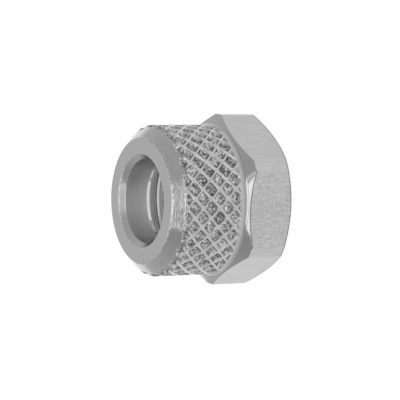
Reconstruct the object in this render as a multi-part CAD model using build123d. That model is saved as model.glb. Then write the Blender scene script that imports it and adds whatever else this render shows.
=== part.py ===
"""Knurled union nut, turned from one bar: a hexagon with an internal thread at the
lower end, a diamond-knurled drum for the fingers, and a coned nose with a through bore.

The nut stands on the hexagon's end face. Its axis is +Z, the origin is the middle of
that face, and the nose points up. All sizes are in millimetres and degrees.
"""
from build123d import *
import math
import os

# ---- whole nut --------------------------------------------------------------
TOTAL_LENGTH = 10.0

# ---- hexagon for the wrench -------------------------------------------------
ACROSS_FLATS = 12.0
CORNER_DIAMETER = 13.35     # the six corners are turned down to this
HEX_LENGTH = 3.95           # from the end face to where the shoulder cone meets the drum
HEX_CHAMFER_ANGLE = 30.0    # both chamfers, measured from the end face
END_FACE_DIAMETER = 11.5    # flat ring left inside the lower chamfer
ROOT_RADIUS = 0.3           # fillet between the drum and the shoulder cone

# ---- drum and nose ----------------------------------------------------------
DRUM_DIAMETER = 11.65
NOSE_DIAMETER = 9.65
NOSE_CONE_ANGLE = 45.0      # measured from the axis

# ---- diamond knurl, points depressed ----------------------------------------
KNURL_PITCH = 1.43          # between pits of one column, along the axis
KNURL_SPACING = 1.46        # between pits of one row, round the drum (nominal)
KNURL_RIDGE = 0.3           # flat top of the ridge between two pits
KNURL_DEPTH = 0.3
KNURL_FLANK_ANGLE = 45.0    # slope of a pit's four walls
KNURL_START = 0.8           # from the nose face to the first row, which the cone cuts
KNURL_TURN = 5.0            # first pit of the first row, round from the corner on +X
PLAIN_RING = 0.5            # unknurled ring between the knurl and the shoulder cone

# ---- through bore in the nose -----------------------------------------------
BORE_DIAMETER = 6.4
BORE_LENGTH = 2.3           # from the nose face to the end of the cylindrical land
COUNTERSINK_DIAMETER = 7.2
COUNTERSINK_ANGLE = 45.0    # measured from the axis
LEAD_IN_DIAMETER = 6.8      # small bevel where the land opens inwards
LEAD_IN_ANGLE = 30.0        # measured from the axis
SEAT_ANGLE = 45.0           # inner seat cone, measured from the axis

# ---- internal thread, M10 x 1, held at its minor diameter -------------------
THREAD_DIAMETER = 10.0
THREAD_PITCH = 1.0
MINOR_FACTOR = 1.0825       # ISO 60 degree thread: minor = nominal - factor x pitch
ENTRY_DIAMETER = 10.2       # mouth of the 45 degree entry chamfer

TOOL_CLEARANCE = 0.05       # a pit's cutter starts this far outside the drum
MAX_PIT_SHARE = 0.45        # deepest a pit can be, as a share of its width at 45 degrees


def tan_deg(angle: float) -> float:
    """Tangent of an angle in degrees."""
    return math.tan(math.radians(angle))


def half_section(points: list, root: tuple = None, radius: float = 0.0) -> Sketch:
    """Closed half section of a turned shape from (radius, height) points."""
    section = Sketch() + make_face(Polyline(*points, close=True))
    if root and radius > 0:
        section = fillet(section.vertices().sort_by_distance((*root, 0))[0], radius)
    return Plane.XZ * section


def hex_end() -> Part:
    """Hexagon with turned corners, both chamfers and the fillet up to the drum."""
    drum_r, corner_r, end_r = DRUM_DIAMETER / 2, CORNER_DIAMETER / 2, END_FACE_DIAMETER / 2
    rise = tan_deg(HEX_CHAMFER_ANGLE)
    shoulder = (corner_r - drum_r) * rise
    blank = revolve(half_section([
        (0, 0),
        (end_r, 0),
        (corner_r, (corner_r - end_r) * rise),
        (corner_r, HEX_LENGTH - shoulder),
        (drum_r, HEX_LENGTH),
        (drum_r, HEX_LENGTH + PLAIN_RING),
        (0, HEX_LENGTH + PLAIN_RING),
    ], root=(drum_r, HEX_LENGTH), radius=min(ROOT_RADIUS, PLAIN_RING, shoulder)), Axis.Z)
    flats = RegularPolygon(ACROSS_FLATS / 2, 6, major_radius=False)
    prism = extrude(flats, amount=HEX_LENGTH)
    ring = Pos(0, 0, HEX_LENGTH) * extrude(Circle(corner_r), amount=PLAIN_RING)
    return blank & (prism + ring)


def drum_and_nose() -> Part:
    """Plain drum above the ring, with its nose cone."""
    drum_r, nose_r = DRUM_DIAMETER / 2, NOSE_DIAMETER / 2
    foot = HEX_LENGTH + PLAIN_RING
    cone_foot = TOTAL_LENGTH - (drum_r - nose_r) / tan_deg(NOSE_CONE_ANGLE)
    return revolve(half_section([
        (0, foot),
        (drum_r, foot),
        (drum_r, cone_foot),
        (nose_r, TOTAL_LENGTH),
        (0, TOTAL_LENGTH),
    ]), Axis.Z)


def pit_cutter() -> Part:
    """One blunt four-sided pyramid at angle 0, mouth just outside the drum, point inwards."""
    spacing = math.pi * DRUM_DIAMETER / pits_per_row()
    side = math.hypot(KNURL_PITCH, spacing) / 2 - KNURL_RIDGE
    slope = tan_deg(KNURL_FLANK_ANGLE)
    depth = min(KNURL_DEPTH, MAX_PIT_SHARE * side * slope)
    mouth = side + 2 * TOOL_CLEARANCE / slope
    floor = side - 2 * depth / slope
    near, far = (mouth - floor) / 2, (mouth + floor) / 2
    pyramid = Wedge(mouth, depth + TOOL_CLEARANCE, mouth, near, near, far, far,
                    align=(Align.CENTER, Align.MIN, Align.CENTER))
    return Pos(DRUM_DIAMETER / 2 + TOOL_CLEARANCE, 0, 0) * Rot(0, 0, 90) * Rot(0, 45, 0) * pyramid


def pits_per_row() -> int:
    """Whole number of pits that fit round the drum."""
    return max(3, round(math.pi * DRUM_DIAMETER / KNURL_SPACING))


def knurl_cutters() -> list:
    """Staggered rows of pits, from the nose down to the plain ring."""
    cutter = pit_cutter()
    count = pits_per_row()
    foot = HEX_LENGTH + PLAIN_RING
    height = TOTAL_LENGTH - KNURL_START
    cutters = []
    row = 0
    while height > foot - KNURL_PITCH / 2:
        for index in range(count):
            turn = Rot(0, 0, KNURL_TURN + 360 * (index + row % 2 / 2) / count)
            cutters.append(turn * Pos(0, 0, height) * cutter)
        height -= KNURL_PITCH / 2
        row += 1
    return cutters


def bore_and_thread() -> Part:
    """Everything that is bored out: countersink, land, lead-in, seat cone and thread core."""
    bore_r, sink_r, lead_r = BORE_DIAMETER / 2, COUNTERSINK_DIAMETER / 2, LEAD_IN_DIAMETER / 2
    thread_r = (THREAD_DIAMETER - MINOR_FACTOR * THREAD_PITCH) / 2
    entry_r = ENTRY_DIAMETER / 2
    land_end = TOTAL_LENGTH - BORE_LENGTH
    lead_end = land_end - (lead_r - bore_r) / tan_deg(LEAD_IN_ANGLE)
    seat_end = lead_end - (thread_r - lead_r) / tan_deg(SEAT_ANGLE)
    return revolve(half_section([
        (0, TOTAL_LENGTH),
        (sink_r, TOTAL_LENGTH),
        (bore_r, TOTAL_LENGTH - (sink_r - bore_r) / tan_deg(COUNTERSINK_ANGLE)),
        (bore_r, land_end),
        (lead_r, lead_end),
        (thread_r, seat_end),
        (thread_r, entry_r - thread_r),
        (entry_r, 0),
        (0, 0),
    ]), Axis.Z)


def union_nut() -> Part:
    """The whole nut: knurled drum on the hexagon, bored through."""
    drum = drum_and_nose() - knurl_cutters()
    return hex_end() + drum - bore_and_thread()


os.makedirs("parts", exist_ok=True)
export_step(union_nut(), "parts/nut_body.step")
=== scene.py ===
"""Visual model of a knurled union nut in bright turned steel, with its studio.

The nut is one turned piece. Its blank is a closed mesh of rings, laid out so that the
diagonals of the drum's rings run along the ridges of the knurl. Two node trees then
finish it: one presses the diamond knurl and one cuts the internal thread.
"""
import logging
import math
from dataclasses import dataclass, field
from enum import Enum
from functools import cached_property
from typing import Any, Optional, Union

import bmesh
import bpy
from mathutils import Matrix, Quaternion, Vector


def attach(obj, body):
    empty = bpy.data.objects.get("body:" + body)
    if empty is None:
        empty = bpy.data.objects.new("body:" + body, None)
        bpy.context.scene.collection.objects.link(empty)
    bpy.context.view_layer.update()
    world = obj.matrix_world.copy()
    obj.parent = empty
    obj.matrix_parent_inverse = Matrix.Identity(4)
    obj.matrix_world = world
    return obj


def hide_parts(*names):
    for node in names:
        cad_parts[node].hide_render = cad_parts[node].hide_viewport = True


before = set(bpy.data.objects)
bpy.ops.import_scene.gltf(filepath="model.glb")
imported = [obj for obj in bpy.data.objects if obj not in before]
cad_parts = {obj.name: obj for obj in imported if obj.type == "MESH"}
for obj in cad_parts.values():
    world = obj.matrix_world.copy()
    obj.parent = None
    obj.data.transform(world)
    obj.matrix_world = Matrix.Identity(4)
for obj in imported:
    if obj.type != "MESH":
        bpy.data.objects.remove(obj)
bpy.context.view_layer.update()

MM = 0.001              # one millimetre, in metres
SIDES = 6               # flats of the hexagon
MINOR_FACTOR = 1.0825   # pitches that a 60 degree thread's crests take off its diameter
SUPPORT = 1.6           # tangent lengths from a corner to the support point beside its arc

log = logging.getLogger("union_nut")


# ---------------------------------------------------------------------------
# Node trees
# ---------------------------------------------------------------------------
class Op(Enum):
    """Math operations that the expressions use."""

    ADD = "ADD"
    SUBTRACT = "SUBTRACT"
    MULTIPLY = "MULTIPLY"
    DIVIDE = "DIVIDE"
    POWER = "POWER"
    MINIMUM = "MINIMUM"
    MAXIMUM = "MAXIMUM"
    SMOOTH_MIN = "SMOOTH_MIN"
    SMOOTH_MAX = "SMOOTH_MAX"
    ABSOLUTE = "ABSOLUTE"
    ROUND = "ROUND"
    FRACT = "FRACT"
    WRAP = "FLOORED_MODULO"
    ARCTAN2 = "ARCTAN2"
    SQRT = "SQRT"
    ABOVE = "GREATER_THAN"
    BELOW = "LESS_THAN"


class Sketch:
    """A node tree that is being drawn, for shaders and for geometry alike."""

    def __init__(self, tree: bpy.types.NodeTree) -> None:
        """Keep the tree that the nodes go into."""
        self.tree = tree

    def node(self, kind: str, settings: Optional[dict] = None,
             sockets: Optional[dict] = None) -> bpy.types.Node:
        """Add a node, set it up and wire it.

        Args:
            kind: the node's type name.
            settings: its properties, set before its sockets.
            sockets: values, signals or output sockets for its inputs, by name or index.

        Returns:
            The new node.
        """
        node = self.tree.nodes.new(kind)
        for name, value in (settings or {}).items():
            setattr(node, name, value)
        for key, value in (sockets or {}).items():
            self.plug(node.inputs[key], value)
        return node

    def plug(self, target: bpy.types.NodeSocket, value: Any) -> None:
        """Link a signal or a socket to an input, or set the input to a plain value."""
        if isinstance(value, Signal):
            self.tree.links.new(value.socket, target)
        elif isinstance(value, bpy.types.NodeSocket):
            self.tree.links.new(value, target)
        else:
            target.default_value = value

    def signal(self, socket: bpy.types.NodeSocket) -> "Signal":
        """Wrap an output socket, so that it can be used in expressions."""
        return Signal(self, socket)


Number = Union["Signal", float, int]


class Signal:
    """A number on a wire. Arithmetic on it adds the Math nodes that work it out."""

    def __init__(self, sketch: Sketch, socket: bpy.types.NodeSocket) -> None:
        """Keep the tree and the socket that carries the number."""
        self.sketch = sketch
        self.socket = socket

    def apply(self, op: Op, *others: Number) -> "Signal":
        """Feed this number, then the others, through one Math node."""
        return chain(self.sketch, op, self, *others)

    def __add__(self, other: Number) -> "Signal":
        """Sum."""
        return self.apply(Op.ADD, other)

    __radd__ = __add__

    def __sub__(self, other: Number) -> "Signal":
        """Difference."""
        return self.apply(Op.SUBTRACT, other)

    def __rsub__(self, other: Number) -> "Signal":
        """Difference, with this number taken away."""
        return chain(self.sketch, Op.SUBTRACT, other, self)

    def __mul__(self, other: Number) -> "Signal":
        """Product."""
        return self.apply(Op.MULTIPLY, other)

    __rmul__ = __mul__

    def __truediv__(self, other: Number) -> "Signal":
        """Quotient."""
        return self.apply(Op.DIVIDE, other)

    def __rtruediv__(self, other: Number) -> "Signal":
        """Quotient, with this number as the divisor."""
        return chain(self.sketch, Op.DIVIDE, other, self)

    def __gt__(self, other: Number) -> "Signal":
        """One where this number is the larger, else zero."""
        return self.apply(Op.ABOVE, other)

    def __lt__(self, other: Number) -> "Signal":
        """One where this number is the smaller, else zero."""
        return self.apply(Op.BELOW, other)

    def __abs__(self) -> "Signal":
        """Size without its sign."""
        return self.apply(Op.ABSOLUTE)

    def between(self, low: float, high: float, soft: float) -> "Signal":
        """One inside a range and zero outside it, with edges that fade over soft."""
        rise = ((self - low) / soft + 0.5).clamp()
        fall = ((high - self) / soft + 0.5).clamp()
        return rise * fall

    def rising(self, start: float, gain: float) -> "Signal":
        """Zero up to start, then a climb of gain for each unit, up to one."""
        return ((self - start) * gain).clamp()

    def falling(self, end: float, gain: float) -> "Signal":
        """One, then a fall of gain for each unit, that reaches zero at end."""
        return ((end - self) * gain).clamp()

    def clamp(self) -> "Signal":
        """Held between zero and one."""
        return self.apply(Op.MAXIMUM, 0.0).apply(Op.MINIMUM, 1.0)


def chain(sketch: Sketch, op: Op, *values: Number) -> Signal:
    """Add one Math node.

    Args:
        sketch: the tree it goes into.
        op: the operation.
        values: up to three numbers or signals, in the node's own order.

    Returns:
        The node's result.
    """
    node = sketch.node("ShaderNodeMath", {"operation": op.value}, dict(enumerate(values)))
    return sketch.signal(node.outputs[0])


# ---------------------------------------------------------------------------
# The nut's blank
# ---------------------------------------------------------------------------
@dataclass(frozen=True)
class NutSizes:
    """Sizes of the nut in millimetres and degrees, measured up from the hexagon's end face."""

    length: float = 10.0
    across_flats: float = 12.0
    corner_diameter: float = 13.35
    hex_length: float = 3.95
    hex_chamfer: float = 30.0
    end_face_diameter: float = 11.5
    root_radius: float = 0.3
    drum_diameter: float = 11.65
    nose_diameter: float = 9.65
    nose_cone: float = 45.0
    bore_diameter: float = 6.4
    bore_length: float = 2.3
    countersink_diameter: float = 7.2
    lead_in_diameter: float = 6.8
    lead_in_angle: float = 30.0
    thread_diameter: float = 10.0
    thread_pitch: float = 1.0
    entry_diameter: float = 10.2
    relief_low: float = 5.44
    relief_high: float = 6.06
    relief_depth: float = 0.12
    relief_step: float = 0.03
    relief_bevel: float = 0.22
    relief_hollow: float = 0.26
    edge_break: float = 0.05
    shoulder_break: float = 0.04
    entry_break: float = 0.03
    sink_break: float = 0.1
    nose_break: float = 0.12
    bore_break: float = 0.1
    relief_break: float = 0.08
    run_out_break: float = 0.06

    @property
    def thread_minor_radius(self) -> float:
        """Radius of the thread's crests, for a 60 degree metric thread."""
        return (self.thread_diameter - MINOR_FACTOR * self.thread_pitch) / 2

    @property
    def cone_foot(self) -> float:
        """Height at which the nose cone meets the drum."""
        drop = (self.drum_diameter - self.nose_diameter) / 2
        return self.length - drop / math.tan(math.radians(self.nose_cone))


@dataclass(frozen=True)
class KnurlSizes:
    """Sizes of the diamond knurl, in millimetres and degrees.

    Scales of its noises are per millimetre, and shares are of a pit's own size.
    """

    count: int = 25
    pitch: float = 1.43
    start: float = 0.8
    turn: float = 5.0
    plain_ring: float = 0.5
    steps: int = 16
    pit_share: float = 0.43
    ridge_bias: float = -0.05
    pit_squareness: float = 6.0
    depth: float = 0.25
    flank: float = 2.1
    edge_round: float = 0.04
    floor_round: float = 0.1
    fade: float = 0.35
    fade_lead: float = 0.15
    roughness: float = 0.08
    rough_scale: float = 4.0
    tearing: float = 0.13
    tear_scale: float = 9.0
    unevenness: float = 0.07
    wander: float = 0.03
    wander_scale: float = 2.5
    outer_share: float = 0.8
    row_salt: int = 211
    column_salt: int = 7
    seed: int = 3


@dataclass
class Ring:
    """One closed ring of the blank, with a radius, height and turn for each vertex.

    A climbing ring is made of sectors. It follows the thread up through each of them, by
    the height between two rings, and meets the ring above where a sector ends.
    """

    radii: list
    heights: list
    shift: float = 0.0
    climbing: bool = False


Corner = tuple


def rounded(before: Corner, corner: Corner, after: Corner, radius: float, steps: int,
            lead: float = SUPPORT, trail: float = SUPPORT) -> list:
    """Points that round a corner of a section, with support points beside the arc.

    Args:
        before: (radius, height) of the point before the corner.
        corner: the corner itself.
        after: the point after it.
        radius: radius of the rounding.
        steps: number of chords on the arc.
        lead: place of the support point ahead of the arc, in tangent lengths, or zero for none.
        trail: the same for the one behind the arc.

    Returns:
        The points, from the side of before to the side of after.
    """
    here = Vector(corner)
    back = (Vector(before) - here).normalized()
    ahead = (Vector(after) - here).normalized()
    half = back.angle(ahead) / 2
    reach = radius / math.tan(half)
    middle = here + (back + ahead).normalized() * (radius / math.sin(half))
    start = here + back * reach - middle
    end = here + ahead * reach - middle
    sweep = start.angle(end)
    points = [here + back * reach * lead] if lead else []
    for step in range(steps + 1):
        share = step / steps
        weight_start = math.sin((1 - share) * sweep) / math.sin(sweep)
        weight_end = math.sin(share * sweep) / math.sin(sweep)
        points.append(middle + start * weight_start + end * weight_end)
    if trail:
        points.append(here + ahead * reach * trail)
    return [(point.x, point.y) for point in points]


@dataclass
class Blank:
    """The turned and milled nut before it is knurled and tapped."""

    sizes: NutSizes
    knurl: KnurlSizes
    thread_rows_per_pitch: int = 10
    thread_gap: float = 0.02
    mouth_rows: int = 7
    cone_rings: int = 6
    root_steps: int = 6
    rings: list = field(default_factory=list)

    @property
    def around(self) -> int:
        """Number of vertices in a ring."""
        return self.knurl.count * self.knurl.steps

    def angles(self) -> list:
        """Angle of each vertex of a ring; those nearest a hexagon corner move onto it."""
        step = 2 * math.pi / self.around
        base = math.radians(self.knurl.turn)
        plain = [base + index * step for index in range(self.around)]
        half_flat = math.acos(self.sizes.across_flats / self.sizes.corner_diameter)
        for flat in range(SIDES):
            middle = -math.pi / 2 + 2 * math.pi / SIDES * flat
            for line in (middle - half_flat, middle + half_flat):
                nearest = round((line - base) / step) % self.around
                turns = round((plain[nearest] - line) / (2 * math.pi))
                plain[nearest] = line + 2 * math.pi * turns
        return plain

    def side_radius(self, angle: float) -> float:
        """Radius of the hexagon's side at an angle, where the corners are turned down."""
        half_side = math.pi / SIDES
        from_flat = (angle + math.pi / 2 + half_side) % (2 * half_side) - half_side
        flat = self.sizes.across_flats / 2 / math.cos(from_flat)
        return min(flat, self.sizes.corner_diameter / 2)

    def add_round(self, corner: Corner, before: Corner, after: Corner, radius: float,
                  steps: int = 3) -> None:
        """Add the rings of a rounded edge that is the same all the way round."""
        for point in rounded(before, corner, after, radius, steps):
            self.add_plain(*point)

    def add_plain(self, radius: float, height: float, shift: float = 0.0) -> None:
        """Add one round ring."""
        self.rings.append(Ring([radius] * self.around, [height] * self.around, shift))

    def add_climbing(self, radius: float, height: float, climb: float) -> None:
        """Add one ring that climbs with the thread, sector by sector."""
        shares = (index * self.thread_rows_per_pitch % self.around for index in range(self.around))
        heights = [height + climb * share / self.around for share in shares]
        self.rings.append(Ring([radius] * self.around, heights, climbing=True))

    def add_nose(self) -> None:
        """Countersink edge, nose face and nose cone down to the first knurled ring."""
        size = self.sizes
        top = size.length
        sink = size.countersink_diameter / 2
        nose, drum, bore = size.nose_diameter / 2, size.drum_diameter / 2, size.bore_diameter / 2
        self.add_round((sink, top), (bore, top - (sink - bore)), (nose, top), size.sink_break)
        self.add_round((nose, top), (sink, top), (drum, size.cone_foot), size.nose_break)

    def add_drum(self) -> None:
        """Fine rings over the foot of the cone and the knurled band, staggered by half a step."""
        size, knurl = self.sizes, self.knurl
        spacing = knurl.pitch / knurl.steps / 2
        foot = size.hex_length + knurl.plain_ring
        below = math.ceil((size.length - knurl.start - foot) / spacing / 2) * 2
        slope = math.tan(math.radians(size.nose_cone))
        for row in range(-self.cone_rings, below + 1):
            height = size.length - knurl.start - row * spacing
            cone = size.nose_diameter / 2 + (size.length - height) * slope
            shift = 0.5 if row % 2 else 0.0
            self.add_plain(min(cone, size.drum_diameter / 2), height, shift)

    def add_hexagon(self, angles: list) -> None:
        """Root fillet, shoulder cone, sides, lower chamfer and end face."""
        size = self.sizes
        rise = math.tan(math.radians(size.hex_chamfer))
        drum, corner = size.drum_diameter / 2, size.corner_diameter / 2
        end, entry = size.end_face_diameter / 2, size.entry_diameter / 2
        shoulder = (corner, size.hex_length - (corner - drum) * rise)
        above = (drum, size.hex_length + size.root_radius * 2)
        root = (drum, size.hex_length)
        for point in rounded(above, root, shoulder, size.root_radius, self.root_steps, trail=0):
            self.add_plain(*point)
        columns = []
        for angle in angles:
            side = self.side_radius(angle)
            upper = (side, size.hex_length - (side - drum) * rise)
            lower = (side, (side - end) * rise)
            column = rounded(root, upper, lower, size.shoulder_break, 3, lead=0)
            column += rounded(upper, lower, (end, 0.0), size.edge_break, 3)
            columns.append(column)
        for row in range(len(columns[0])):
            radii = [column[row][0] for column in columns]
            heights = [column[row][1] for column in columns]
            self.rings.append(Ring(radii, heights))
        self.add_round((end, 0.0), (corner, (corner - end) * rise), (entry, 0.0), size.edge_break)

    def add_thread_core(self) -> None:
        """Entry chamfer and the core of the thread, in rings fine enough to cut turns into."""
        size = self.sizes
        entry, core = size.entry_diameter / 2, size.thread_minor_radius
        self.add_round((entry, 0.0), (size.end_face_diameter / 2, 0.0), (core, entry - core),
                       size.entry_break, 2)
        spacing = size.thread_pitch / self.thread_rows_per_pitch
        for row in range(1, self.mouth_rows + 1):
            height = row * spacing
            self.add_plain(max(core, entry - height), height)
        first = (self.mouth_rows + 0.5) * spacing + size.thread_pitch * self.knurl.turn / 360
        for row in range(int((size.relief_low - self.thread_gap - first) / spacing)):
            self.add_climbing(core, first + row * spacing, spacing)
        deep = core + size.relief_depth
        low, high = (deep, size.relief_high - size.relief_bevel), (core, size.relief_high)
        self.add_plain(core, size.relief_low)
        self.add_plain(deep, size.relief_low + size.relief_step)
        self.add_plain(deep, size.relief_high - size.relief_hollow)
        self.add_round(low, (deep, size.relief_low), high, size.relief_break)
        self.add_round(high, low, (core, self.seat_end), size.run_out_break)

    @property
    def lead_end(self) -> float:
        """Height at which the lead-in meets the seat cone."""
        size = self.sizes
        rise = (size.lead_in_diameter - size.bore_diameter) / 2
        return size.length - size.bore_length - rise / math.tan(math.radians(size.lead_in_angle))

    @property
    def seat_end(self) -> float:
        """Height at which the seat cone meets the core of the thread."""
        return self.lead_end - (self.sizes.thread_minor_radius - self.sizes.lead_in_diameter / 2)

    def add_bore(self) -> None:
        """Seat cone, lead-in, bore land and countersink, up to the nose."""
        size = self.sizes
        sink, bore = size.countersink_diameter / 2, size.bore_diameter / 2
        thread_end = (size.thread_minor_radius, size.relief_high)
        seat_end = (size.thread_minor_radius, self.seat_end)
        lead_end = (size.lead_in_diameter / 2, self.lead_end)
        land_end = (bore, size.length - size.bore_length)
        land_top = (bore, size.length - (sink - bore))
        self.add_round(seat_end, thread_end, lead_end, size.bore_break)
        self.add_round(lead_end, seat_end, land_end, size.bore_break, 2)
        self.add_round(land_end, lead_end, land_top, size.bore_break, 2)
        self.add_round(land_top, land_end, (sink, size.length), size.edge_break, 2)

    def mesh(self) -> bpy.types.Mesh:
        """Build the closed mesh of the blank.

        Returns:
            The mesh, in metres, with its faces outwards.
        """
        angles = self.angles()
        self.rings.clear()
        self.add_nose()
        self.add_drum()
        self.add_hexagon(angles)
        self.add_thread_core()
        self.add_bore()
        sheet = bmesh.new()
        step = 2 * math.pi / self.around
        rows = []
        for ring in self.rings:
            row = []
            for angle, radius, height in zip(angles, ring.radii, ring.heights):
                turned = angle + ring.shift * step
                place = Vector((radius * math.cos(turned), radius * math.sin(turned), height))
                row.append(sheet.verts.new(place * MM))
            rows.append((row, ring))
        for index in range(len(rows)):
            self.join_rows(sheet, rows[index], rows[(index + 1) % len(rows)])
        self.join_sectors(sheet, [row for row, ring in rows if ring.climbing])
        bmesh.ops.recalc_face_normals(sheet, faces=sheet.faces[:])
        mesh = bpy.data.meshes.new("nut_blank")
        sheet.to_mesh(mesh)
        sheet.free()
        return mesh

    def join_rows(self, sheet: bmesh.types.BMesh, first: tuple, second: tuple) -> None:
        """Fill the band between two rings: squares if they line up, else triangles."""
        (upper, upper_ring), (lower, lower_ring) = first, second
        climbing = upper_ring.climbing and lower_ring.climbing
        upper_shift, lower_shift = upper_ring.shift, lower_ring.shift
        for index in range(self.around):
            after = (index + 1) % self.around
            if climbing and self.ends_sector(index):
                continue
            if upper_shift == lower_shift:
                sheet.faces.new((upper[index], upper[after], lower[after], lower[index]))
            elif upper_shift < lower_shift:
                sheet.faces.new((upper[index], upper[after], lower[index]))
                sheet.faces.new((upper[after], lower[after], lower[index]))
            else:
                sheet.faces.new((upper[index], lower[after], lower[index]))
                sheet.faces.new((upper[index], upper[after], lower[after]))

    def ends_sector(self, index: int) -> bool:
        """Whether a climbing ring ends a sector at this vertex."""
        return (index + 1) * self.thread_rows_per_pitch % self.around == 0

    def join_sectors(self, sheet: bmesh.types.BMesh, climbing: list) -> None:
        """Fill the columns between sectors, where each climbing ring meets the one above."""
        for index in filter(self.ends_sector, range(self.around)):
            before = [row[index] for row in climbing]
            after = [row[(index + 1) % self.around] for row in climbing]
            sheet.faces.new((before[0], after[0], after[1]))
            sheet.faces.new((before[-2], after[-1], before[-1]))
            for low in range(len(climbing) - 2):
                sheet.faces.new((before[low], after[low + 1], after[low + 2], before[low + 1]))


# ---------------------------------------------------------------------------
# Knurling and tapping
# ---------------------------------------------------------------------------
@dataclass
class Spot:
    """A place on the nut, as signals: its coordinates, radius, angle and height."""

    place: bpy.types.NodeSocket
    x: Signal
    y: Signal
    height: Signal
    radius: Signal
    angle: Signal

    @classmethod
    def at(cls, sketch: Sketch, place: bpy.types.NodeSocket) -> "Spot":
        """Split a position into cylinder coordinates about the nut's axis."""
        axes = sketch.node("ShaderNodeSeparateXYZ", None, {0: place})
        x, y, height = (sketch.signal(socket) for socket in axes.outputs)
        radius = (x * x + y * y).apply(Op.SQRT)
        return cls(place, x, y, height, radius, y.apply(Op.ARCTAN2, x))


class Tool:
    """A node tree that works on the blank: it gives each vertex a new radius."""

    name = "tool"

    def inputs(self) -> dict:
        """Named sizes of the tool, in metres, plain numbers or degrees."""
        raise NotImplementedError

    def work(self, sketch: Sketch, size: dict, spot: Spot) -> tuple:
        """Radius that the tool leaves at a vertex, and the marks that it stores there by name."""
        raise NotImplementedError

    def tree(self, finish: bpy.types.Material) -> bpy.types.NodeTree:
        """Draw the tool's node tree, from Group Input to Realize Instances and Set Material."""
        tree = bpy.data.node_groups.new(self.name, "GeometryNodeTree")
        face = tree.interface
        face.new_socket("Blank", in_out="INPUT", socket_type="NodeSocketGeometry")
        for label, value in self.inputs().items():
            item = face.new_socket(label, in_out="INPUT", socket_type="NodeSocketFloat")
            item.default_value = value
        face.new_socket("Worked", in_out="OUTPUT", socket_type="NodeSocketGeometry")
        sketch = Sketch(tree)
        entry = sketch.node("NodeGroupInput")
        size = {label: sketch.signal(entry.outputs[label]) for label in self.inputs()}
        spot = Spot.at(sketch, sketch.node("GeometryNodeInputPosition").outputs[0])
        radius, marks = self.work(sketch, size, spot)
        share = radius / spot.radius
        moved = sketch.node("ShaderNodeCombineXYZ", None,
                            {0: spot.x * share, 1: spot.y * share, 2: spot.height})
        marked = entry.outputs["Blank"]
        for label, mark in marks.items():
            marked = sketch.node("GeometryNodeStoreNamedAttribute",
                                 {"data_type": "FLOAT", "domain": "POINT"},
                                 {"Geometry": marked, "Name": label, "Value": mark}).outputs[0]
        pushed = sketch.node("GeometryNodeSetPosition", None,
                             {"Geometry": marked, "Position": moved.outputs[0]})
        real = sketch.node("GeometryNodeRealizeInstances", None, {0: pushed.outputs[0]})
        dressed = sketch.node("GeometryNodeSetMaterial", None,
                              {"Geometry": real.outputs[0], "Material": finish})
        sketch.node("NodeGroupOutput", None, {0: dressed.outputs[0]})
        return tree

    def fit(self, piece: bpy.types.Object, finish: bpy.types.Material) -> None:
        """Put the tool on a piece as a modifier, with its sizes set by socket identifier."""
        modifier = piece.modifiers.new(self.name, "NODES")
        modifier.node_group = self.tree(finish)
        values = self.inputs()
        for item in modifier.node_group.interface.items_tree:
            if item.in_out == "INPUT" and item.name in values:
                modifier[item.identifier] = values[item.name]


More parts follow.
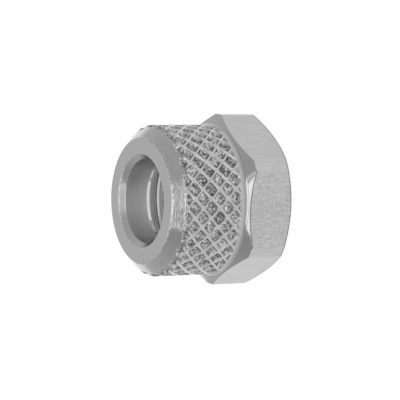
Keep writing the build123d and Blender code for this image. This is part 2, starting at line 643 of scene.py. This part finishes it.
@dataclass
class KnurlTool(Tool):
    """Rolls a diamond knurl whose points are pressed in: pits between crossing ridges."""

    sizes: NutSizes
    knurl: KnurlSizes
    name = "roll_knurl"

    def inputs(self) -> dict:
        """Sizes of the knurl."""
        size, knurl = self.sizes, self.knurl
        return {
            "Count": float(knurl.count),
            "Pitch": knurl.pitch * MM,
            "Turn": math.radians(knurl.turn),
            "First Row": (size.length - knurl.start) * MM,
            "Last Height": (size.hex_length + knurl.plain_ring - knurl.edge_round / 4) * MM,
            "Drum Radius": size.drum_diameter / 2 * MM,
            "Pit Share": knurl.pit_share,
            "Squareness": knurl.pit_squareness,
            "Fade": knurl.fade * MM,
            "Ridge Bias": knurl.ridge_bias,
            "Flank": knurl.flank,
            "Depth": knurl.depth * MM,
            "Edge Round": knurl.edge_round * MM,
            "Floor Round": knurl.floor_round * MM,
            "Roughness": knurl.roughness * MM,
            "Tearing": knurl.tearing * MM,
            "Unevenness": knurl.unevenness,
            "Wander": knurl.wander,
        }

    def work(self, sketch: Sketch, size: dict, spot: Spot) -> tuple:
        """Radius of the pits' walls where they lie below the blank, else the blank's own."""
        knurl = self.knurl
        along = (size["First Row"] - spot.height) / size["Pitch"]
        around = (spot.angle - size["Turn"]) * size["Count"] / (2 * math.pi)
        left, right = along + around, along - around
        left_cell, right_cell = left.apply(Op.ROUND), right.apply(Op.ROUND)
        from_left, from_right = left - left_cell, right - right_cell
        square = size["Squareness"]
        bias = size["Ridge Bias"]
        reach = abs(from_left * (1 - bias)).apply(Op.POWER, square)
        reach = reach + abs(from_right * (1 + bias)).apply(Op.POWER, square)
        reach = reach.apply(Op.POWER, 1 / square)
        luck = self.luck(sketch, size, left_cell, right_cell)
        share = size["Pit Share"] * (1 - size["Unevenness"] * luck)
        share = share + self.noise(sketch, spot, knurl.wander_scale) * size["Wander"]
        inward = (share - reach) * size["Pitch"] / math.sqrt(2) * size["Flank"]
        sunk = inward.apply(Op.SMOOTH_MAX, 0.0, size["Edge Round"])
        fading = ((spot.height - size["Last Height"]) / size["Fade"] + knurl.fade_lead).clamp()
        floor = size["Depth"] * (1 - size["Unevenness"] * luck * 2) * fading
        sunk = sunk.apply(Op.SMOOTH_MIN, floor, size["Floor Round"])
        rough = self.noise(sketch, spot, knurl.rough_scale) * size["Roughness"]
        rough = rough + self.noise(sketch, spot, knurl.tear_scale) * size["Tearing"]
        sunk = sunk + rough * (sunk / size["Depth"]).clamp()
        band = spot.height > size["Last Height"]
        outside = spot.radius > size["Drum Radius"] * knurl.outer_share
        cut = spot.radius - spot.radius.apply(Op.MINIMUM, size["Drum Radius"] - sunk)
        cut = cut * band * outside
        marks = {"knurl_depth": (cut / size["Depth"]).clamp(),
                 "knurl_left": from_left, "knurl_right": from_right, "knurl_luck": luck}
        return spot.radius - cut, marks

    def noise(self, sketch: Sketch, spot: Spot, scale: float) -> Signal:
        """Noise from minus one to one, with its scale given per millimetre."""
        cloud = sketch.node("ShaderNodeTexNoise", {"noise_dimensions": "3D"},
                            {"Vector": spot.place, "Scale": scale / MM, "Detail": 2.0})
        return (sketch.signal(cloud.outputs[0]) - 0.5) * 2

    def luck(self, sketch: Sketch, size: dict, left: Signal, right: Signal) -> Signal:
        """A chance number between zero and one for each pit."""
        knurl = self.knurl
        column = (left - right).apply(Op.WRAP, size["Count"] * 2)
        salted = (left + right) * knurl.row_salt + column * knurl.column_salt
        draw = sketch.node("FunctionNodeRandomValue", {"data_type": "FLOAT"},
                           {"ID": salted, "Seed": knurl.seed})
        return sketch.signal(next(socket for socket in draw.outputs if socket.enabled))


@dataclass
class TapTool(Tool):
    """Cuts a right-hand metric thread into the core hole."""

    sizes: NutSizes
    stop: float = 5.49
    fade: float = 0.2
    mouth_share: float = 0.375
    hole_share: float = 1.2
    name = "cut_thread"

    def inputs(self) -> dict:
        """Sizes of the thread."""
        pitch = self.sizes.thread_pitch
        return {
            "Pitch": pitch * MM,
            "Core Radius": self.sizes.thread_minor_radius * MM,
            "Depth": (self.sizes.thread_diameter / 2 - self.sizes.thread_minor_radius) * MM,
            "Mouth": self.mouth_share * pitch * MM,
            "Stop": self.stop * MM,
            "Fade": self.fade * MM,
        }

    def work(self, sketch: Sketch, size: dict, spot: Spot) -> tuple:
        """Radius of the groove where it lies outside the blank's hole, else the blank's own."""
        turns = spot.height / size["Pitch"] - spot.angle / (2 * math.pi)
        from_middle = abs(turns.apply(Op.FRACT) - 0.5) * size["Pitch"]
        flank = (size["Mouth"] - from_middle) * math.sqrt(3)
        groove = flank.apply(Op.MAXIMUM, 0.0).apply(Op.MINIMUM, size["Depth"])
        fading = ((size["Stop"] - spot.height) / size["Fade"]).clamp()
        cut = size["Core Radius"] + groove * fading
        worked = spot.radius.apply(Op.MAXIMUM, cut)
        hole = spot.radius < size["Core Radius"] + size["Depth"] * self.hole_share
        inside = hole * (spot.height < size["Stop"])
        deepened = (worked - spot.radius) * inside
        return spot.radius + deepened, {"thread_depth": deepened / size["Depth"]}


# ---------------------------------------------------------------------------
# Finish
# ---------------------------------------------------------------------------
@dataclass(frozen=True)
class ToolMarks:
    """What the tools stored on the nut, as signals."""

    pit: Signal
    left: Signal
    right: Signal
    luck: Signal
    groove: Signal

    @classmethod
    def read(cls, sketch: Sketch) -> "ToolMarks":
        """Read the stored marks: depth, place and luck of the pits, and depth of the thread."""
        labels = ("knurl_depth", "knurl_left", "knurl_right", "knurl_luck", "thread_depth")
        nodes = (sketch.node("ShaderNodeAttribute", {"attribute_name": label}) for label in labels)
        return cls(*(sketch.signal(node.outputs["Fac"]) for node in nodes))


@dataclass
class Areas:
    """Where each finish lies on the nut: signals that are one there and zero elsewhere.

    Spans are in millimetres. Those of the root and ring start at the hexagon's length, those
    of the two chipped edges are set off from the edge's radius, and the rest are heights.
    """

    spot: Spot
    size: NutSizes
    knurl: KnurlSizes
    marks: ToolMarks
    blend: float = 0.02
    slack: float = 0.04
    skin: float = 0.05
    chip_blend: float = 0.03
    nose_chips: tuple = (-0.055, 0.085)
    nose_chip_depth: float = 0.13
    sink_chips: tuple = (-0.07, 0.08)
    sink_chip_depth: float = 0.07
    hole_bottom: float = 0.1
    hole_drop: float = 0.41
    seat_span: tuple = (6.1, 7.34)
    lead_span: tuple = (7.34, 7.72)
    land_bottom: float = 7.75
    mouth_top: float = 3.0
    mouth_fade: float = 1.5
    relief_lead: float = 0.24
    root_span: tuple = (0.16, 0.24)
    ring_span: tuple = (0.24, 0.51)
    ring_share: float = 0.35
    lip_span: tuple = (0.005, 0.1)
    lip_blend: float = 0.01
    foot_width: float = 0.09
    fillet_span: tuple = (0.03, 0.19)
    fillet_reach: float = 0.125
    spine_span: tuple = (0.475, 0.6)
    cut_line_reach: float = 0.08
    cut_depth: float = 0.2
    cone_gap: float = 0.1
    wall_ends: tuple = (0.0, 0.95)
    wall_gains: tuple = (6.0, 4.0)
    cut_wall_drop: float = 0.3
    rim_start: float = 0.12
    rim_gains: tuple = (8.0, 6.0)
    burr_and_sheen_start: float = 0.22
    burr_and_sheen_side: float = 0.65

    @cached_property
    def drum(self) -> float:
        """Radius of the drum."""
        return self.size.drum_diameter / 2

    @cached_property
    def rise(self) -> float:
        """Slope of the hexagon's chamfers."""
        return math.tan(math.radians(self.size.hex_chamfer))

    @cached_property
    def above_end(self) -> Signal:
        """Height above the cone of the lower chamfer."""
        spot = self.spot
        return spot.height - (spot.radius - self.size.end_face_diameter / 2) * self.rise

    @cached_property
    def below_shoulder(self) -> Signal:
        """Depth below the shoulder cone."""
        spot = self.spot
        return self.size.hex_length - spot.height - (spot.radius - self.drum) * self.rise

    @cached_property
    def side(self) -> Signal:
        """The hexagon's flats and turned corners."""
        beyond = self.spot.radius > self.size.across_flats / 2 - self.skin
        return (self.below_shoulder > self.slack) * (self.above_end > self.slack) * beyond

    @cached_property
    def corner(self) -> Signal:
        """The turned corners."""
        return self.side * (self.spot.radius > self.size.corner_diameter / 2 - self.slack)

    @cached_property
    def front(self) -> Signal:
        """The flat that faces the front."""
        return self.spot.y < self.slack - self.size.across_flats / 2

    @cached_property
    def nose(self) -> Signal:
        """All of the nose, without its bore."""
        spot, size = self.spot, self.size
        return (spot.height > size.cone_foot) * (spot.radius > size.bore_diameter / 2 + self.blend)

    @cached_property
    def sink(self) -> Signal:
        """The countersink."""
        spot, size = self.spot, self.size
        hole = spot.radius < size.countersink_diameter / 2 + self.blend
        return self.nose * hole * (spot.height < size.length - self.blend)

    @cached_property
    def cone(self) -> Signal:
        """The nose cone."""
        return self.nose * (self.spot.height < self.size.length - self.slack) * (1 - self.sink)

    @cached_property
    def inside(self) -> Signal:
        """The hole, from the entry chamfer up to the countersink."""
        spot, size = self.spot, self.size
        hole = spot.radius < size.thread_diameter / 2 + self.skin
        below_sink = spot.height < size.length - self.hole_drop
        return hole * below_sink * (spot.height > self.hole_bottom)

    @cached_property
    def lead(self) -> Signal:
        """The lead-in bevel."""
        return self.inside * self.spot.height.between(*self.lead_span, self.blend)

    @cached_property
    def land(self) -> Signal:
        """The smooth bore."""
        return self.inside * (self.spot.height > self.land_bottom)

    @cached_property
    def mouth(self) -> Signal:
        """The thread's mouth, deepest at the bottom."""
        return self.inside * self.spot.height.falling(self.mouth_top, 1 / self.mouth_fade)

    @cached_property
    def relief(self) -> Signal:
        """The groove where the thread runs out."""
        size = self.size
        low, high = size.relief_low - self.relief_lead, size.relief_high - size.relief_bevel
        return self.inside * self.spot.height.between(low, high, self.blend)

    @cached_property
    def bevel(self) -> Signal:
        """The bevel between that groove and the seat cone."""
        size = self.size
        low, high = size.relief_high - size.relief_bevel, self.seat_span[0]
        return self.inside * self.spot.height.between(low, high, self.blend)

    @cached_property
    def chips(self) -> Signal:
        """The two chipped edges of the nose face."""
        spot, size = self.spot, self.size
        found = 0.0
        for radius, span, depth in (
            (size.nose_diameter / 2, self.nose_chips, self.nose_chip_depth),
            (size.countersink_diameter / 2, self.sink_chips, self.sink_chip_depth),
        ):
            low, high = (radius + offset for offset in span)
            band = spot.radius.between(low, high, self.chip_blend)
            found = found + (spot.height > size.length - depth) * band
        return found

    @cached_property
    def root(self) -> Signal:
        """The line at the drum's foot, and more faintly the plain ring above it, where shade is
        painted.
        """
        above = self.spot.height - self.size.hex_length
        line = above.between(*self.root_span, self.blend)
        ring = above.between(*self.ring_span, self.blend)
        return (line + ring * self.ring_share) * (self.spot.radius > self.drum - self.skin)

    @cached_property
    def fillet(self) -> Signal:
        """The fillet between the drum and the shoulder cone, where shade is painted."""
        spot = self.spot
        band = spot.radius.between(self.drum - self.skin, self.drum + self.fillet_reach, self.blend)
        above = spot.height - self.size.hex_length
        return band * above.between(*self.fillet_span, self.blend)

    @cached_property
    def lip(self) -> Signal:
        """The front flat's upper edge, where a dark line of shade is painted."""
        return self.below_shoulder.between(*self.lip_span, self.lip_blend) * self.front

    @cached_property
    def foot(self) -> Signal:
        """The hexagon's lower edge, where a dark line of shade is painted."""
        outside = self.spot.radius > self.size.end_face_diameter / 2 + self.skin
        return (self.above_end < self.foot_width) * outside

    @cached_property
    def ridge(self) -> Signal:
        """The knurl's ridges."""
        size = self.size
        foot = size.hex_length + self.knurl.plain_ring
        band = self.spot.height.between(foot, size.cone_foot, self.blend)
        return band * (self.spot.radius > self.drum - self.blend)

    @cached_property
    def spine(self) -> Signal:
        """The middle line of a ridge, where shade is painted."""
        marks = self.marks
        aside = abs(marks.left).apply(Op.MAXIMUM, abs(marks.right))
        return aside.between(*self.spine_span, self.blend)

    @cached_property
    def wall(self) -> Signal:
        """The walls of the pits, where shade is painted, less so where the nose cone cuts them."""
        pit = self.marks.pit
        (start, end), (up, down) = self.wall_ends, self.wall_gains
        cut = self.spot.height > self.size.cone_foot - self.cut_depth
        return pit.rising(start, up) * pit.falling(end, down) * (1 - cut * self.cut_wall_drop)

    @cached_property
    def burr_and_sheen(self) -> Signal:
        """The rolled-up, burred rim along two sides of each pit, where a highlight is painted."""
        marks = self.marks
        up, down = self.rim_gains
        rim = marks.pit.rising(0.0, up) * (1 - marks.pit.rising(self.rim_start, down))
        upper = (marks.right * -1).apply(Op.MAXIMUM, marks.left * self.burr_and_sheen_side)
        below_cone = self.spot.height < self.size.cone_foot - self.cone_gap
        return rim * upper.rising(self.burr_and_sheen_start, up) * below_cone

    @cached_property
    def cut_line(self) -> Signal:
        """The line where the nose cone cuts the knurl, where shade is painted."""
        near = abs(self.spot.height - self.size.cone_foot) < self.cut_line_reach
        return near * (self.spot.radius > self.drum - self.cut_depth)


@dataclass
class Patterns:
    """Random marks of the tools, each from minus a half to a half.

    Stretches are marks per millimetre along the pattern's own axes.
    """

    sketch: Sketch
    spot: Spot
    fine: float = 9.0
    streak_along: float = 1.2
    turned_along: float = 8.0
    bored_along: float = 2.0
    blotch_along: float = 0.6
    blotch_scale: float = 0.9
    grain_scale: float = 10.0
    speck_scale: float = 5.0
    tear_scale: float = 7.0

    @cached_property
    def streak(self) -> Signal:
        """Drawing lines along the bar."""
        spot = self.spot
        lines = (spot.x * self.fine, spot.y * self.fine, spot.height * self.streak_along)
        return self.noise(lines, 1.0, 3.0)

    @cached_property
    def turned(self) -> Signal:
        """Turning lines round the axis."""
        spot = self.spot
        lines = (spot.radius * self.fine, spot.height * self.fine, spot.angle * self.turned_along)
        return self.noise(lines, 1.0, 3.0)

    @cached_property
    def bored(self) -> Signal:
        """Boring lines round the hole."""
        spot = self.spot
        lines = (spot.height * self.fine, spot.angle * self.bored_along, spot.radius)
        return self.noise(lines, 1.0, 2.0)

    @cached_property
    def blotch(self) -> Signal:
        """Broad, faint clouds."""
        spot = self.spot
        return self.noise((spot.x, spot.y, spot.height * self.blotch_along), self.blotch_scale, 1.0)

    @cached_property
    def grain(self) -> Signal:
        """Fine grain."""
        return self.noise((self.spot.x, self.spot.y, self.spot.height), self.grain_scale, 2.0)

    @cached_property
    def speck(self) -> Signal:
        """Coarser specks."""
        return self.noise((self.spot.x, self.spot.y, self.spot.height), self.speck_scale, 4.0)

    @cached_property
    def torn(self) -> Signal:
        """Facets of torn metal."""
        cells = self.sketch.node("ShaderNodeTexVoronoi", None,
                                 {"Vector": self.spot.place, "Scale": self.tear_scale})
        parts = self.sketch.node("ShaderNodeSeparateColor", None, {0: cells.outputs["Color"]})
        return self.sketch.signal(parts.outputs[0]) - 0.5

    def noise(self, place: tuple, scale: float, detail: float) -> Signal:
        """Noise about zero at a stretched place."""
        vector = self.sketch.node("ShaderNodeCombineXYZ", None, dict(enumerate(place)))
        cloud = self.sketch.node("ShaderNodeTexNoise", None,
                                 {"Vector": vector.outputs[0], "Scale": scale, "Detail": detail})
        return self.sketch.signal(cloud.outputs[0]) - 0.5


@dataclass(frozen=True)
class SteelFinish:
    """Bright machined steel: drawn flats, turned cones and faces, rolled knurl.

    A lift or drop changes the shade of an area, a grain or lines set how strongly a pattern
    shows in it, and a bump is the pattern's height in millimetres. The lift inside the hole is
    painted light. The drops in the hole, in the pits and on their walls, towards one end of each
    pit, and along the fillet, the drum's foot, the cut of the nose cone, the ridges' middles and
    the hexagon's edges are painted shade, and the lift on the pits' burred rims is a painted
    highlight.
    """

    sizes: NutSizes
    knurl: KnurlSizes
    flat_shade: float = 0.46
    side_drop: float = 0.01
    corner_lift: float = 0.03
    cone_lift: float = 0.03
    sink_lift: float = 0.02
    inside_painted_light: float = 0.4
    groove_shade: float = 0.3
    mouth_shade: float = 0.3
    lead_shade: float = 0.24
    relief_shade: float = 0.38
    bevel_shade: float = 0.1
    seat_shade: float = 0.37
    seat_shade_fall: float = 0.18
    fillet_shade: float = 0.2
    root_shade: float = 0.15
    lip_shade: float = 0.5
    foot_shade: float = 0.55
    pit_shade: float = 0.1
    wall_shade: float = 0.16
    cut_line_shade: float = 0.3
    pit_grain: float = 0.7
    pit_tears: float = 0.58
    burr_and_sheen_lift: float = 0.6
    burr_and_sheen_level: float = 0.3
    pit_gain: float = 4.0
    luck_lift: float = 0.2
    mean_luck: float = 0.35
    pit_end_shade: float = 0.1
    ridge_lift: float = 0.015
    ridge_specks: float = 0.3
    spine_shade: float = 0.07
    chip_specks: float = 0.5
    rubbed_rest: float = 0.15
    rubbed_streaks: float = 0.3
    rubbed_specks: float = 0.34
    side_blotches: float = 0.07
    corner_streaks: float = 0.12
    cone_lines: float = 0.13
    plain_grain: float = 0.05
    bore_lines: float = 0.16
    streak_bump: float = 0.004
    pit_bump: float = 0.05
    cone_bump: float = 0.012
    chip_bump: float = 0.06
    smooth_roughness: float = 0.1
    side_roughness: float = 0.08
    sink_roughness: float = 0.14
    inside_roughness: float = 0.12
    land_roughness: float = 0.05
    bevel_roughness: float = 0.12
    pit_roughness: float = 0.4
    pit_roughness_gain: float = 6.0

    def material(self) -> bpy.types.Material:
        """Draw the finish.

        Returns:
            The material.
        """
        finish = bpy.data.materials.new("turned_steel")
        finish.use_nodes = True
        finish.node_tree.nodes.clear()
        sketch = Sketch(finish.node_tree)
        place = sketch.node("ShaderNodeTexCoord").outputs["Object"]
        scaled = sketch.node("ShaderNodeVectorMath", {"operation": "SCALE"},
                             {0: place, "Scale": 1 / MM})
        spot = Spot.at(sketch, scaled.outputs[0])
        areas = Areas(spot, self.sizes, self.knurl, ToolMarks.read(sketch))
        patterns = Patterns(sketch, spot)
        shade = self.pressed(self.machined(areas), areas, patterns)
        shade = shade + self.scratched(areas, patterns)
        colour = sketch.node("ShaderNodeCombineColor", None, {0: shade, 1: shade, 2: shade})
        bump = sketch.node("ShaderNodeBump", None, {
            "Height": self.bumps(areas, patterns),
            "Distance": MM,
            "Strength": 1.0,
        })
        metal = sketch.node("ShaderNodeBsdfPrincipled", None, {
            "Base Color": colour.outputs[0],
            "Metallic": 1.0,
            "Roughness": self.roughness(areas),
            "Normal": bump.outputs[0],
        })
        sketch.node("ShaderNodeOutputMaterial", None, {0: metal.outputs[0]})
        return finish

    @property
    def rubbed_front(self) -> float:
        """How much more the front flat is rubbed than the other sides."""
        return 1 - self.rubbed_rest

    def machined(self, areas: Areas) -> Signal:
        """Shade of the drawn, turned and bored surfaces, with painted light and shade in the hole
        and painted shade along the fillet, the drum's foot and the hexagon's edges.

        Args:
            areas: where the surfaces lie.

        Returns:
            The shade, from zero to one.
        """
        height = areas.spot.height
        shade = self.flat_shade + areas.corner * self.corner_lift + areas.cone * self.cone_lift
        # Painted light: the hole is lifted brighter all over. Painted shade: the thread's grooves
        # are darker.
        shade = shade + areas.inside * self.inside_painted_light - areas.marks.groove * self.groove_shade
        # Painted shade in the hole: the thread's mouth, the lead-in, the run-out groove, its bevel
        # and the seat cone are darker, the seat more so the lower it lies.
        shade = shade - areas.mouth * self.mouth_shade - areas.lead * self.lead_shade
        shade = shade - areas.relief * self.relief_shade - areas.bevel * self.bevel_shade
        bottom, top = areas.seat_span
        seat = areas.inside * (height > bottom) * (height < top)
        shade = shade - seat * ((top - height) * self.seat_shade_fall + self.seat_shade)
        shade = shade + areas.sink * self.sink_lift - areas.side * self.side_drop
        # Painted shade: the fillet, the line at the drum's foot and, more faintly, the plain ring
        # above it are darker.
        shade = shade * (1 - areas.fillet * self.fillet_shade) - areas.root * self.root_shade
        # Painted shade: dark lines along the front flat's upper edge and the hexagon's lower edge.
        return shade * (1 - areas.lip * self.lip_shade) * (1 - areas.foot * self.foot_shade)

    def pressed(self, shade: Signal, areas: Areas, patterns: Patterns) -> Signal:
        """Darken and roughen the pits of the knurl, with painted shade and a painted highlight.

        Args:
            shade: the shade before knurling.
            areas: where the knurl's walls, burrs and the line where the cone cuts it lie.
            patterns: the grain and tears in the pits.

        Returns:
            The shade with the knurl.
        """
        marks = areas.marks
        # Painted shade: the pits are darker with their depth, and their walls darker still.
        shade = shade * (1 - marks.pit * self.pit_shade) * (1 - areas.wall * self.wall_shade)
        torn = patterns.grain * self.pit_grain + patterns.torn * self.pit_tears
        shade = shade + marks.pit * torn
        # Painted highlight along the rolled-up rims on two sides of each pit, with grain in it.
        shade = shade + areas.burr_and_sheen * (patterns.grain + self.burr_and_sheen_level) * self.burr_and_sheen_lift
        # Each pit's tone differs at random; painted shade darkens each pit towards its end nearer
        # the hexagon.
        slope = (marks.luck - self.mean_luck) * self.luck_lift
        slope = slope - (marks.left + marks.right) * self.pit_end_shade
        tilt = 1 + marks.pit.rising(0.0, self.pit_gain) * slope
        # Painted shade along the line where the nose cone cuts the knurl.
        return shade * tilt * (1 - areas.cut_line * self.cut_line_shade)

    def scratched(self, areas: Areas, patterns: Patterns) -> Signal:
        """Drawing, turning and boring lines, specks and chips, and painted shade along the ridges'
        middles.

        Args:
            areas: where they lie.
            patterns: the lines and specks.

        Returns:
            What they add to the shade.
        """
        streak, speck = patterns.streak, patterns.speck
        lines = self.rubbed(areas) * (streak * self.rubbed_streaks + speck * self.rubbed_specks)
        lines = lines + areas.side * patterns.blotch * self.side_blotches
        lines = lines + areas.corner * streak * self.corner_streaks
        lines = lines + areas.cone * patterns.turned * self.cone_lines
        lines = lines + areas.chips * speck * self.chip_specks
        # Specks on the ridges, and painted shade along each ridge's middle line.
        ridge = speck * self.ridge_specks - areas.spine * self.spine_shade + self.ridge_lift
        lines = lines + areas.ridge * ridge
        lines = lines + (1 - areas.side) * patterns.grain * self.plain_grain
        return lines + areas.inside * patterns.bored * self.bore_lines

    def bumps(self, areas: Areas, patterns: Patterns) -> Signal:
        """Height of the lines, pits' floors and chips, in millimetres."""
        heights = self.rubbed(areas) * patterns.streak * self.streak_bump
        heights = heights + areas.marks.pit * patterns.grain * self.pit_bump
        heights = heights + areas.cone * patterns.turned * self.cone_bump
        return heights + areas.chips * patterns.speck * self.chip_bump

    def roughness(self, areas: Areas) -> Signal:
        """Roughness of each area; only the lead-in is as smooth inside as the nose."""
        pitted = areas.marks.pit.rising(0.0, self.pit_roughness_gain)
        rough = self.smooth_roughness + pitted * self.pit_roughness
        rough = rough + areas.side * self.side_roughness + areas.sink * self.sink_roughness
        rough = rough + (areas.inside - areas.lead) * self.inside_roughness
        return rough + areas.land * self.land_roughness + areas.bevel * self.bevel_roughness

    def rubbed(self, areas: Areas) -> Signal:
        """How strongly each side of the hexagon shows its drawing lines."""
        return areas.side * (self.rubbed_rest + areas.front * self.rubbed_front)


# ---------------------------------------------------------------------------
# The nut
# ---------------------------------------------------------------------------
@dataclass
class UnionNut:
    """The finished nut, standing for the solid of the same name."""

    sizes: NutSizes = NutSizes()
    knurl: KnurlSizes = KnurlSizes()
    node: str = "nut_body"
    slot: str = "turned_steel"
    sharp_angle: float = 24.0

    def build(self) -> bpy.types.Object:
        """Make the nut and hand it to the frame.

        Returns:
            The finished piece.
        """
        finish = SteelFinish(self.sizes, self.knurl).material()
        blank = bpy.data.objects.new("blank", Blank(self.sizes, self.knurl).mesh())
        bpy.context.scene.collection.objects.link(blank)
        KnurlTool(self.sizes, self.knurl).fit(blank, finish)
        TapTool(self.sizes).fit(blank, finish)
        bpy.context.view_layer.update()
        shaped = blank.evaluated_get(bpy.context.evaluated_depsgraph_get())
        mesh = bpy.data.meshes.new_from_object(shaped)
        bpy.data.objects.remove(blank)
        mesh.shade_smooth()
        mesh.set_sharp_from_angle(angle=math.radians(self.sharp_angle))
        piece = bpy.data.objects.new("knurled_union_nut", mesh)
        bpy.context.scene.collection.objects.link(piece)
        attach(piece, "root")
        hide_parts(self.node)
        log.info("nut: %d faces", len(mesh.polygons))
        return piece


# ---------------------------------------------------------------------------
# Studio
# ---------------------------------------------------------------------------
@dataclass(frozen=True)
class SoftPanel:
    """A strip of the soft box, from start to end as (towards camera, upwards) in metres.

    Its sides lie at low and high, in metres along the camera's level axis.
    """

    start: tuple
    end: tuple
    radiance: float
    low: float = -0.2
    high: float = 0.082


@dataclass
class Studio:
    """Pale floor, soft light from above the camera, and the camera itself."""

    azimuth: float = -81.78
    elevation: float = 30.21
    roll: float = -91.25
    lens: float = 202.4
    distance: float = 174.74
    aim_height: float = 4.74
    aim_offset: float = -0.03
    panels: tuple = (
        SoftPanel((0.25, -0.144), (0.25, 0.13), 1.15, -0.18, 0.112),
        SoftPanel((0.25, 0.13), (0.25, 0.2), 0.08, -0.18, 0.112),
        SoftPanel((0.25, 0.2), (0.25, 0.56), 1.2),
        SoftPanel((0.25, 0.2), (0.25, 0.56), 0.55, 0.099, 0.122),
        SoftPanel((0.25, 0.56), (-0.1, 0.56), 1.2),
    )
    near_clip: float = 0.01
    floor_size: float = 3.0
    floor_gap: float = 0.02
    floor_shade: float = 0.9
    floor_glow: float = 1.08
    floor_share: float = 0.86
    sky: float = 0.53
    side_glow: float = 0.15
    back_glow: float = 0.36
    back_level: float = 0.5
    far_side_glow: float = 0.13

    def __post_init__(self) -> None:
        """Work out the camera's axes: towards it, and right and up for a level camera."""
        turn, tilt = math.radians(self.azimuth), math.radians(self.elevation)
        self.toward = Vector((math.cos(turn) * math.cos(tilt), math.sin(turn) * math.cos(tilt),
                              math.sin(tilt)))
        self.level = Vector((0, 0, 1)).cross(self.toward).normalized()
        self.rise = self.toward.cross(self.level)

    def build(self) -> None:
        """Set up everything that isn't the nut."""
        self.place_camera()
        self.lay_floor()
        for panel in self.panels:
            self.hang_panel(panel)
        self.light_world()
        bpy.context.scene.view_settings.view_transform = "Standard"
        log.info("studio: camera at %.0f mm", self.distance)

    def place_camera(self) -> None:
        """Put the camera in front, above and rolled, so that the nut's axis lies level."""
        camera = bpy.data.cameras.new("camera")
        camera.lens = self.lens
        camera.clip_start = self.near_clip
        eye = bpy.data.objects.new("camera", camera)
        aim = Vector((0, 0, self.aim_height)) + self.level * self.aim_offset
        eye.location = (aim + self.toward * self.distance) * MM
        eye.rotation_mode = "QUATERNION"
        spin = Quaternion((0, 0, 1), math.radians(self.roll))
        eye.rotation_quaternion = self.toward.to_track_quat("Z", "Y") @ spin
        bpy.context.scene.collection.objects.link(eye)
        bpy.context.scene.camera = eye

    def lay_floor(self) -> None:
        """Lay a white floor that keeps a soft shadow."""
        sheet = bmesh.new()
        bmesh.ops.create_grid(sheet, x_segments=2, y_segments=2, size=self.floor_size)
        mesh = bpy.data.meshes.new("floor")
        sheet.to_mesh(mesh)
        sheet.free()
        floor = bpy.data.objects.new("floor", mesh)
        paint = bpy.data.materials.new("floor_paint")
        paint.use_nodes = True
        paint.node_tree.nodes.clear()
        sketch = Sketch(paint.node_tree)
        lit = sketch.node("ShaderNodeBsdfDiffuse", None, {"Color": (*[self.floor_shade] * 3, 1.0)})
        path = sketch.node("ShaderNodeLightPath")
        seen = sketch.signal(path.outputs["Is Camera Ray"])
        seen = seen.apply(Op.MAXIMUM, sketch.signal(path.outputs["Is Glossy Ray"]))
        seen = seen.apply(Op.MAXIMUM, sketch.signal(path.outputs["Is Transmission Ray"]))
        glow = sketch.node("ShaderNodeEmission", None, {"Strength": self.floor_glow})
        mix = sketch.node("ShaderNodeMixShader", None,
                          {0: seen * self.floor_share, 1: lit.outputs[0], 2: glow.outputs[0]})
        sketch.node("ShaderNodeOutputMaterial", None, {0: mix.outputs[0]})
        mesh.materials.append(paint)
        floor.location.z = -self.floor_gap * MM
        bpy.context.scene.collection.objects.link(floor)

    def hang_panel(self, panel: SoftPanel) -> None:
        """Hang one panel of the soft box, with its face to the nut."""
        edges = (panel.start, panel.end)
        start, end = (self.toward * ahead + self.rise * up for ahead, up in edges)
        along = end - start
        lamp = bpy.data.lights.new("panel", "AREA")
        lamp.shape = "RECTANGLE"
        lamp.size = panel.high - panel.low
        lamp.size_y = along.length
        lamp.energy = panel.radiance * math.pi * lamp.size * lamp.size_y
        hung = bpy.data.objects.new("panel", lamp)
        hung.location = (start + end) / 2 + self.level * (panel.low + panel.high) / 2
        hung.rotation_mode = "QUATERNION"
        axes = Matrix((self.level, along.normalized(), self.level.cross(along).normalized()))
        hung.rotation_quaternion = axes.transposed().to_quaternion()
        bpy.context.scene.collection.objects.link(hung)

    def light_world(self) -> None:
        """Light the world in pale grey, a little brighter behind and on one side."""
        world = bpy.data.worlds.new("studio")
        world.use_nodes = True
        world.node_tree.nodes.clear()
        sketch = Sketch(world.node_tree)
        ray = sketch.node("ShaderNodeTexCoord").outputs["Generated"]
        flat_toward = Vector((self.toward.x, self.toward.y, 0)).normalized()
        behind = self.facing(sketch, ray, -flat_toward).apply(Op.MAXIMUM, 0.0)
        beside = self.facing(sketch, ray, self.level)
        above = self.facing(sketch, ray, Vector((0, 0, 1)))
        low = beside.apply(Op.MINIMUM, 0.0) * beside
        glow = self.sky + beside * above * self.side_glow
        glow = glow + behind * behind * (above + self.back_level) * self.back_glow
        glow = glow + low * low * self.far_side_glow
        back = sketch.node("ShaderNodeBackground", None,
                           {"Color": (1.0, 1.0, 1.0, 1.0), "Strength": glow})
        sketch.node("ShaderNodeOutputWorld", None, {0: back.outputs[0]})
        bpy.context.scene.world = world

    @staticmethod
    def facing(sketch: Sketch, ray: bpy.types.NodeSocket, way: Vector) -> Signal:
        """Cosine between a ray and a direction."""
        dot = sketch.node("ShaderNodeVectorMath", {"operation": "DOT_PRODUCT"}, {0: ray, 1: way})
        return sketch.signal(dot.outputs["Value"])


def main() -> None:
    """Build the studio and the nut."""
    logging.basicConfig(level=logging.INFO, format="%(name)s %(message)s")
    Studio().build()
    UnionNut().build()


if __name__ == "__main__":
    main()
